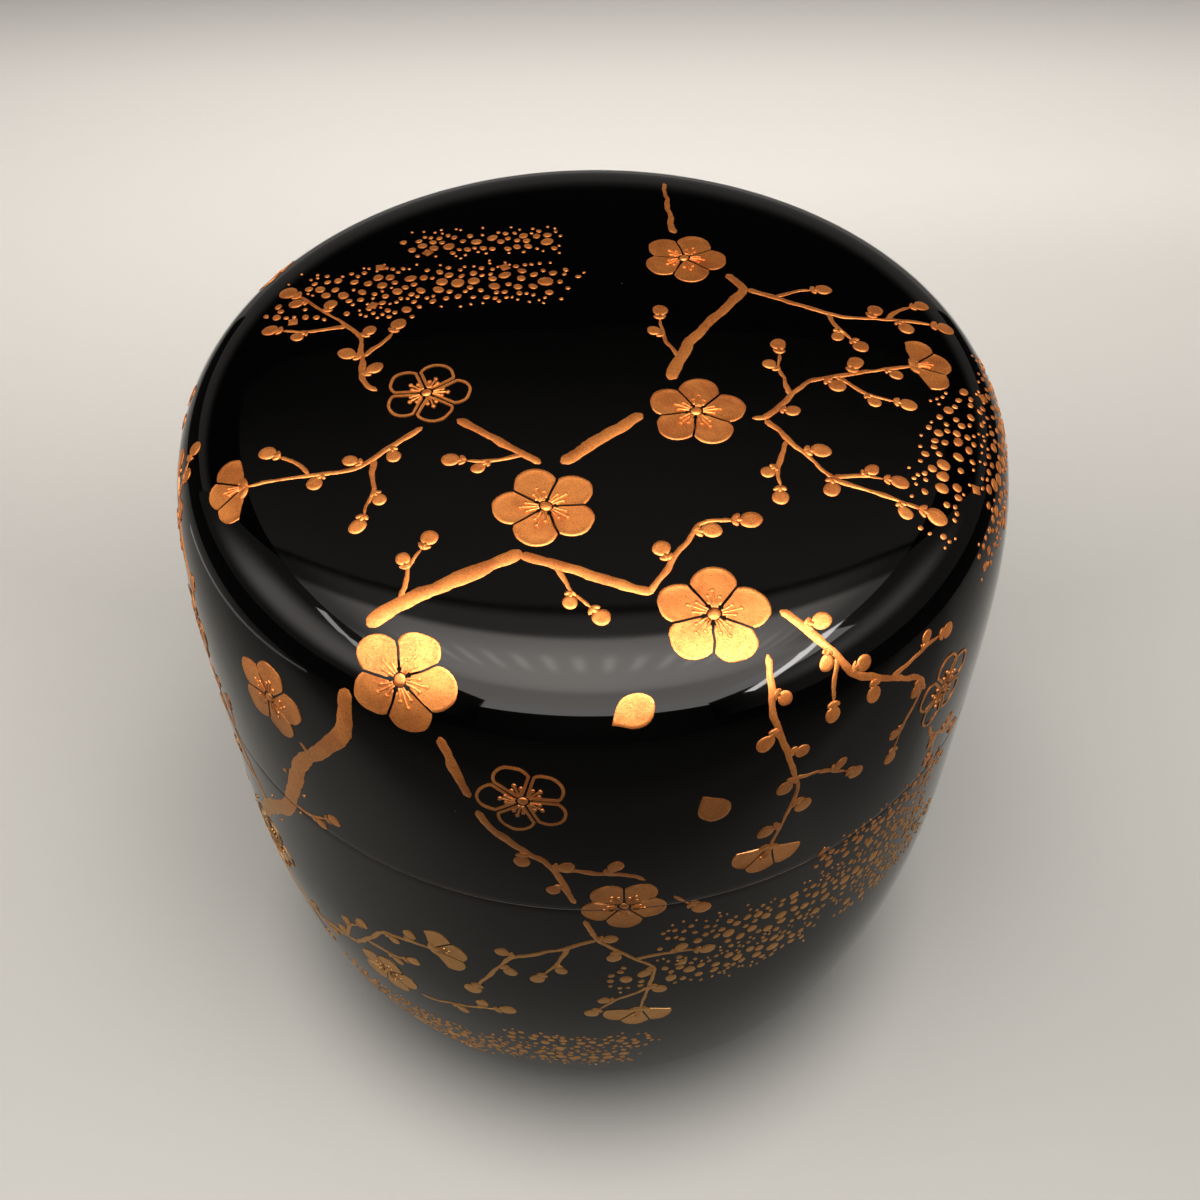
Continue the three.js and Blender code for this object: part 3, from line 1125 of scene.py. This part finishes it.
def set_camera():
    data = bpy.data.cameras.new("camera")
    camera = bpy.data.objects.new("camera", data)
    bpy.context.scene.collection.objects.link(camera)
    data.sensor_width = SENSOR
    data.lens = SENSOR * LENS_PIXELS / PHOTO_SIZE
    data.shift_x = (PHOTO_SIZE / 2 - PRINCIPAL_X) / PHOTO_SIZE
    data.shift_y = (PRINCIPAL_Y - PHOTO_SIZE / 2) / PHOTO_SIZE
    data.clip_start = 5 * MM
    back = Vector((0, -math.cos(CAMERA_PITCH), math.sin(CAMERA_PITCH)))
    right = Vector((1, 0, 0))
    up = back.cross(right)
    across = right * math.cos(CAMERA_ROLL) + up * math.sin(CAMERA_ROLL)
    upward = up * math.cos(CAMERA_ROLL) - right * math.sin(CAMERA_ROLL)
    turn = Matrix((across, upward, back)).transposed().to_4x4()
    place = Vector((0, 0, TOTAL_HEIGHT / 2)) + back * CAMERA_DISTANCE
    camera.matrix_world = Matrix.Translation(place) @ turn
    bpy.context.scene.camera = camera


FLOOR_SIZE = 4
# Paper in painted shade, and the paper's own pale colour
PAINTED_SHADE_PAPER = (0.35, 0.341, 0.319, 1)
PALE_PAPER = (0.86, 0.82, 0.766, 1)


def lay_floor():
    """Pale paper with painted light and shade: darker in front of the caddy and to the right, darkest round
    its foot as a painted shadow, lighter towards the back, and glowing far off.
    """
    select_none()
    bpy.ops.mesh.primitive_plane_add(size=FLOOR_SIZE, location=(0, 0, 0))
    floor = bpy.context.object
    floor.name = "floor"
    material, shade, shader = new_material("pale_floor")
    to_right, to_back, _ = shade.axes()
    distance = shade.add("VectorMath", {0: shade.place}, operation="LENGTH")["Value"]
    to_foot = shade.add("VectorMath", {0: shade.place, 1: (0, -2.5 * MM, 0)}, operation="DISTANCE")["Value"]
    # Painted light lightens a band towards the back; painted shade darkens the paper near the caddy.
    painted_back_light = shade.times(shade.step(to_back, -0.01, 0.15), shade.step(to_back, 0.235, 0.16))
    out_of_painted_shade = shade.plus(shade.step(distance, 0.034, 0.062, 0.2),
                          shade.step(distance, 0.06, 0.15, 0.28))
    out_of_painted_shade = shade.times(out_of_painted_shade, shade.step(to_back, -0.03, 0.03))
    colour = shade.blend(shade.math("MAXIMUM", painted_back_light, out_of_painted_shade), PAINTED_SHADE_PAPER, PALE_PAPER)
    # Painted shade to the right, and a painted shadow that is darkest round the foot.
    painted_right_shade = shade.times(shade.step(to_right, -0.08, 0.08), shade.step(to_back, 0.135, 0.1))
    colour = shade.blend(shade.times(painted_right_shade, 0.13), colour, BLACK)
    colour = shade.blend(shade.step(to_foot, 0.037, 0.02, 0.85), colour, BLACK)
    # Painted light: far off, the floor glows for the camera and in reflections.
    seen = shade.add("LightPath", {})
    direct = shade.math("MAXIMUM", seen["Is Camera Ray"], seen["Is Glossy Ray"])
    far_glow = shade.step(distance, 0.2, 0.55, 0.58)
    shade.feed(shader, {
        "Base Color": colour, "Roughness": 0.9, "Emission Color": (1, 0.96, 0.91, 1),
        "Emission Strength": shade.times(direct, far_glow),
    })
    floor.data.materials.append(material)


def stage_card(name, low, high, material, lights=False, shades=False):
    """A flat card of the studio between two opposite corners. The camera never sees it."""
    select_none()
    bpy.ops.mesh.primitive_plane_add(size=1, location=(0, 0, 0))
    card = bpy.context.object
    card.name = name
    spread = [axis for axis in range(3) if low[axis] != high[axis]]
    for vertex in card.data.vertices:
        corner_place = list(low)
        for axis, side in zip(spread, vertex.co):
            corner_place[axis] = high[axis] if side > 0 else low[axis]
        vertex.co = corner_place
    card.data.materials.append(material)
    card.visible_camera = False
    card.visible_diffuse = lights
    card.visible_shadow = shades


def add_panel(name, centre, facing, size, radiance):
    """A flat soft lamp with the same brightness all over, aimed along facing."""
    data = bpy.data.lights.new(name, "AREA")
    data.shape = "RECTANGLE"
    data.size, data.size_y = size
    data.energy = radiance * math.pi * size[0] * size[1]
    lamp = bpy.data.objects.new(name, data)
    bpy.context.scene.collection.objects.link(lamp)
    lamp.rotation_euler = Vector(facing).to_track_quat("-Z", "Y").to_euler()
    lamp.location = centre
    lamp.visible_camera = False
    return lamp


def add_strip(name, start, end, width, radiance):
    """A narrow lamp between two points, lit towards the caddy."""
    start, end = Vector(start), Vector(end)
    along = (end - start).normalized()
    middle = (start + end) / 2
    inward = Vector((0, 0, 50 * MM)) - middle
    inward = (inward - along * inward.dot(along)).normalized()
    lamp = add_panel(name, middle, inward, ((end - start).length, width), radiance)
    lamp.rotation_euler = Matrix((along, along.cross(inward), -inward)).transposed().to_euler()
    return lamp


# The studio's measures in metres
ROOF_HEIGHT = 0.24
ROOF_FRONT = -0.255
ROOF_BACK = 0.24
CLOTH_BACK = 0.07
WALL_DISTANCE = 0.165
WALL_FOOT = 0.06
WALL_BACK = 0.06
SIDE_FLAG = 0.2
FRONT_FLAG = -0.34
SIDE_FLAG_HEIGHT = 0.085
FRONT_FLAG_HEIGHT = 0.17
# Height of the dark sheet of painted shade before the caddy
FRONT_SHADE_HEIGHT = 0.2 * MM
GLOW_MIDDLE = -0.07
GLOW_REACH = 0.15
ROOF_GLOW = 2.2
BACK_GLOW = 0.3
LAMP_GLOW = 3.6


def lit_cloth(name, colour=WARM_WHITE, base=0.1):
    """Cloth with a light behind it: how brightly it glows is set by the caller."""
    material, shade, shader = new_material(name)
    shade.feed(shader, {"Base Color": (base, base, base, 1), "Emission Color": colour})
    return material, shade, shader


def oval_glow(shade, across, along, reach):
    """1 in the middle of the roof's lamps, and 0 at the edge of an oval round them."""
    sideways = shade.math("DIVIDE", across, GLOW_REACH)
    forward = shade.math("DIVIDE", shade.plus(along, -GLOW_MIDDLE), reach)
    spread = shade.plus(shade.times(sideways, sideways), shade.times(forward, forward))
    return shade.step(spread, 1, 0)


def roof_softbox():
    """The lit roof: even cloth that fades out at the back, brighter under its row of lamps."""
    material, shade, shader = lit_cloth("lit_cloth", (1, 0.97, 0.93, 1))
    across, along, _ = shade.axes()
    glow = shade.plus(shade.step(along, CLOTH_BACK, 0, ROOF_GLOW),
                      shade.step(along, ROOF_BACK, CLOTH_BACK, BACK_GLOW),
                      shade.times(oval_glow(shade, across, along, 0.1), LAMP_GLOW))
    shade.feed(shader, {"Emission Strength": glow})
    stage_card("roof", (-WALL_DISTANCE, ROOF_FRONT, ROOF_HEIGHT), (WALL_DISTANCE, ROOF_BACK, ROOF_HEIGHT),
               material, lights=True, shades=True)


def bright_cloth():
    """The brightest cloth of the roof, with lamps in a row behind it, for the gloss alone."""
    material, shade, shader = lit_cloth("bright_cloth")
    across, along, _ = shade.axes()
    level = shade.plus(shade.step(along, 0.075, 0.06, 0.7),
                       shade.step(along, 0.042, 0.026, 2.9))
    far_side = shade.times(shade.step(shade.math("ABSOLUTE", across), 0.07, 0.15),
                           shade.step(along, -0.09, -0.03))
    level = shade.times(level, shade.between(far_side, 1, 0.35))
    middle = oval_glow(shade, across, along, 0.12)
    lamps = shade.times(shade.step(shade.math("PINGPONG", across, 0.0065), 0.002, 0.0065),
                        shade.step(along, 0.005, -0.02), shade.step(along, -0.07, -0.03), middle)
    glow = shade.plus(level, shade.times(middle, 2.4), shade.times(lamps, 2.6))
    shade.feed(shader, {"Emission Strength": glow, "Alpha": shade.step(along, 0.08, 0.07)})
    stage_card("bright_cloth", (-WALL_DISTANCE, FRONT_FLAG, ROOF_HEIGHT - MM),
               (WALL_DISTANCE, 0.08, ROOF_HEIGHT - MM), material)


def wall_cloth(side, strength, lit_from):
    """Cloth at one side, lit softly at half height."""
    material, shade, shader = lit_cloth("wall_cloth", base=0.02)
    _, along, height = shade.axes()
    lit = shade.times(shade.step(along, -0.26, -0.1), shade.step(along, 0.05, -0.02),
                      shade.step(height, lit_from, lit_from + 0.05),
                      shade.step(height, 0.21, 0.13), strength)
    unlit = shade.step(along, -0.33, -0.12, 0.2)
    shade.feed(shader, {"Emission Strength": shade.plus(lit, unlit), "Roughness": 1})
    across = side * (WALL_DISTANCE + MM)
    stage_card("wall_cloth", (across, FRONT_FLAG, WALL_FOOT), (across, WALL_BACK, ROOF_HEIGHT),
               material, lights=True)


def painted_front_shade():
    """A dark sheet of painted shade before the caddy, feathered towards it and seen only in the gloss,
    where it darkens the floor's reflection.
    """
    material, shade, shader = new_material("painted_front_shade")
    across, along, _ = shade.axes()
    before = shade.plus(shade.step(along, -0.038, -0.075, 0.74),
                        shade.step(along, -0.07, -0.12, 0.18))
    right = shade.times(shade.step(across, 0.042, 0.06), shade.step(along, 0, -0.015), 0.35)
    shade.feed(shader, {
        "Base Color": (0.004, 0.004, 0.004, 1), "Roughness": 1,
        "Alpha": shade.math("MAXIMUM", before, right),
    })
    stage_card("painted_front_shade", (-SIDE_FLAG, FRONT_FLAG, FRONT_SHADE_HEIGHT), (SIDE_FLAG, 0, FRONT_SHADE_HEIGHT), material)


def painted_shade_flags():
    """Dark cards of painted shade round the stage, low down, seen only in the gloss, where they darken the
    reflections.
    """
    material, shade, shader = new_material("painted_shade_card")
    shade.feed(shader, {"Base Color": (0.05, 0.05, 0.05, 1), "Roughness": 1})
    stage_card("front_flag", (-SIDE_FLAG, FRONT_FLAG, 0), (SIDE_FLAG, FRONT_FLAG, FRONT_FLAG_HEIGHT),
               material)
    for side in (-SIDE_FLAG, SIDE_FLAG):
        stage_card("side_flag", (side, FRONT_FLAG, 0), (side, 0.3, SIDE_FLAG_HEIGHT), material)


ROOM_LOW = (0.46, 0.44, 0.42, 1)
ROOM_HIGH = (0.03, 0.03, 0.03, 1)


def light_room():
    """A dim room: pale low down, where only the camera sees it past the floor, and dark above."""
    world = bpy.data.worlds.new("room")
    bpy.context.scene.world = world
    world.use_nodes = True
    tree = world.node_tree
    room = Shading(tree, coordinates(tree, "Generated"))
    height = room.axes()[2]
    colour = room.blend(room.step(height, 0.2, 0.36), ROOM_LOW, ROOM_HIGH)
    room.feed(tree.nodes["Background"], {"Color": colour})


def light_stage():
    light_room()
    roof_softbox()
    bright_cloth()
    painted_front_shade()
    painted_shade_flags()
    wall_cloth(-1, 2.4, 0.07)
    wall_cloth(1, 1.3, 0.1)
    add_strip("left_fold", (-WALL_DISTANCE, -0.02, 0.215), (-WALL_DISTANCE, -0.2, 0.128), 0.015, 9)
    add_strip("right_fold", (WALL_DISTANCE, -0.03, 0.245), (WALL_DISTANCE, -0.225, 0.151), 0.024, 20)
    for lamp in (
        add_strip("floor_fold", (-0.125, 0.05, 0.003), (-0.17, -0.075, 0.003), 0.004, 1.5),
        add_panel("front_apron", (0, FRONT_FLAG, 0.205), (0, 1, 0), (2 * WALL_DISTANCE, 0.07), 4),
        add_panel("right_apron", (WALL_DISTANCE, -0.2, 0.212), (-1, 0, 0), (0.28, 0.056), 4),
    ):
        lamp.visible_diffuse = False
    wash = add_panel("background_wash", (0, 0.17, 0.232), (0, 0, -1), (0.36, 0.06), 0.58)
    wash.data.spread = math.radians(70)


bpy.context.scene.view_settings.view_transform = "Standard"
set_camera()
lay_floor()
light_stage()

rubbed, dust = rubbed_group(), dust_group()
worn_seam = (SEAM_HEIGHT, 0.3 * MM)
lid_lacquer = lacquer_material("lid_lacquer", rubbed, dust, 0.04, 0.5, (worn_seam,))
body_lacquer = lacquer_material("body_lacquer", rubbed, dust, 0.045, 0.6, (worn_seam, (0, 0.5 * MM)))
rim_lacquer = lacquer_material("rim_lacquer", rubbed, dust, 0.08, 1, ((RIM_TOP, 0.6 * MM),))
for piece_name, profile, body, node, slot, finish in (
    ("lid_shell", lid_profile(), "lid", "lid", "lid_lacquer", lid_lacquer),
    ("body_shell", body_profile(), "jar", "body", "body_lacquer", body_lacquer),
    ("rim_band", rim_profile(), "jar", "rim_ring", "rim_lacquer", rim_lacquer),
):
    piece = turned(piece_name, profile)
    piece.data.materials.append(finish)
    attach(piece, body)
    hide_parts(node)

lay_gold(gold_material(dust))
